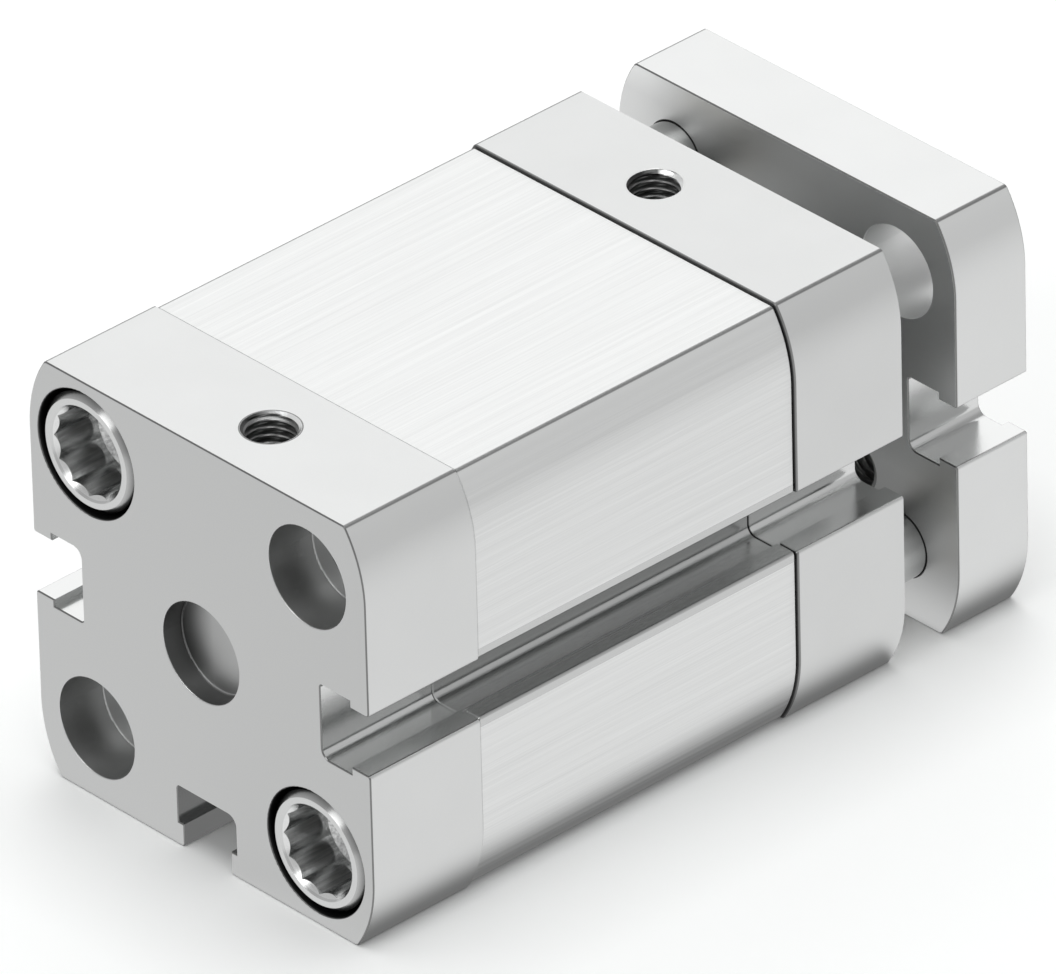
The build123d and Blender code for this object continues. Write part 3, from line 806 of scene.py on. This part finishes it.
def mirrored_floor(finish):
    """Colour of the floor as the metal mirrors it: even white, with a painted shadow in a strip along
    the cylinder and a little darker far away, a painted fade.
    """
    beyond = (finish.x ** 2 + finish.y ** 2) ** 0.5
    # Painted fade: the mirrored floor grows a little darker far away.
    far = ((beyond - far_from) / far_over).limited()
    near_axis = abs(finish.y).below(strip_half_width, strip_softness)
    gap = finish.x.between(front_face + 0.5 * mm, plate_near, 1 * mm)
    # Painted shadow: a dark strip along the cylinder, from its rear face forwards, except under the
    # open gap.
    strip = finish.x.above(rear_face, 0.4 * mm) * near_axis * (1 - gap)
    brightness = (1 - far * far_shade) * (1 - strip * strip_shade)
    return finish.blend(brightness, (0.0, 0.0, 0.0, 1.0), (1.0, 1.0, 1.0, 1.0))


def floor():
    z = cad_box[0].z
    corners = [(x * floor_half, y * floor_half, z) for x, y in ((-1, -1), (1, -1), (1, 1), (-1, 1))]
    mesh = bpy.data.meshes.new("floor")
    mesh.from_pydata(corners, [], [(0, 1, 2, 3)])
    made = bpy.data.objects.new("floor", mesh)
    bpy.context.scene.collection.objects.link(made)
    finish = Finish("pale_floor", 0.0, Roughness=0.9)
    finish.feed(finish.shader.inputs["Base Color"], grey(0.98))
    finish.feed(finish.shader.inputs["Specular IOR Level"], 0.0)
    glow = finish.node("ShaderNodeEmission", {}, {"Color": mirrored_floor(finish), "Strength": 1.0})
    rays = finish.node("ShaderNodeLightPath", {}, {})
    both = finish.node("ShaderNodeMixShader", {}, {0: rays.outputs["Is Glossy Ray"],
                                                   1: finish.shader.outputs[0], 2: glow.outputs[0]})
    finish.feed(finish.output.inputs["Surface"], both.outputs[0])
    mesh.materials.append(finish.material)
    made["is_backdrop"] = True
    print("floor at", round(z / mm, 2), "mm")


floor()

# %% Room
room_grey = 0.44
sweep_white = 0.80
world = bpy.data.worlds.new("studio")
bpy.context.scene.world = world
world.use_nodes = True
world.node_tree.nodes.clear()
room = Network(world.node_tree)
direction = room.node("ShaderNodeTexCoord", {}, {}).outputs["Generated"]
height = room.split(direction)[2]
band = {"Value": height, "From Min": 0.45, "From Max": 0.90, "To Min": sweep_white,
        "To Max": room_grey}
sweep = room.node("ShaderNodeMapRange", {"interpolation_type": "SMOOTHSTEP"}, band)
glow = room.node("ShaderNodeBackground", {}, {"Strength": sweep.outputs[0]})
room.node("ShaderNodeOutputWorld", {}, {"Surface": glow.outputs[0]})
print("room grey", room_grey)


# %% Lamps
def softbox(name, towards, distance, size, brightness):
    """A square panel lamp that shines on the cylinder; a brightness of 1 looks white."""
    data = bpy.data.lights.new(name, "AREA")
    data.size = size
    data.energy = brightness * pi * size ** 2
    made = bpy.data.objects.new(name, data)
    direction = Vector(towards).normalized()
    made.location = middle + direction * distance
    made.rotation_euler = direction.to_track_quat("Z", "Y").to_euler()
    bpy.context.scene.collection.objects.link(made)


softbox("behind", (0.57, 0.63, 0.55), 2.0, 1.6, 0.71)
softbox("overhead", (0.0, 0.0, 1.0), 2.0, 1.5, 3.2)
softbox("left", (-0.77, -0.04, 0.63), 2.0, 0.8, 2.0)

# %% [markdown]
# ## The camera
# The photograph looks at the rear corner from above, through a very long lens, so its edges
# are almost parallel. The angles, the distance and the lens were worked out from the corners
# of the caps and the plate.

# %% Camera
azimuth = radians(-42.484)
elevation = radians(32.095)
roll = radians(-1.490)
distance = 1.5688
pixels_per_metre = 12383.0
picture_width = 1056
picture_height = 974
centre_x, centre_y = 520.26, 487.62
aim = Vector((0.035, 0.0, 0.0))
back = Vector((sin(azimuth) * cos(elevation), -cos(azimuth) * cos(elevation), sin(elevation)))
level_right = Vector((cos(azimuth), sin(azimuth), 0.0))
level_up = back.cross(level_right)
right = cos(roll) * level_right + sin(roll) * level_up
up = cos(roll) * level_up - sin(roll) * level_right
slide = right * (picture_width / 2 - centre_x) - up * (picture_height / 2 - centre_y)

data = bpy.data.cameras.new("camera")
data.sensor_width = 36.0
data.lens = pixels_per_metre * distance * data.sensor_width / picture_width
data.clip_start = 0.01
data.clip_end = 20.0
camera = bpy.data.objects.new("camera", data)
camera.location = aim + back * distance + slide / pixels_per_metre
camera.rotation_mode = "QUATERNION"
turned = back.to_track_quat("Z", "Y").to_matrix()
turned.col[0], turned.col[1], turned.col[2] = right, up, back
camera.rotation_quaternion = turned.to_quaternion()
bpy.context.scene.collection.objects.link(camera)
bpy.context.scene.camera = camera
bpy.context.scene.view_settings.view_transform = "Standard"
print("lens", round(data.lens, 1), "mm")

# %% [markdown]
# ## The end
# The finishes and threads must not make the cylinder bigger than its CAD model. So the box is
# measured again, and its largest difference from the CAD box is printed.

# %% Measure the change of the box
new_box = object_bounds()
grown_by = max(abs(new_box[i][k] - cad_box[i][k]) for i in (0, 1) for k in (0, 1, 2))
print("largest change of the box:", round(grown_by / mm, 4), "mm")
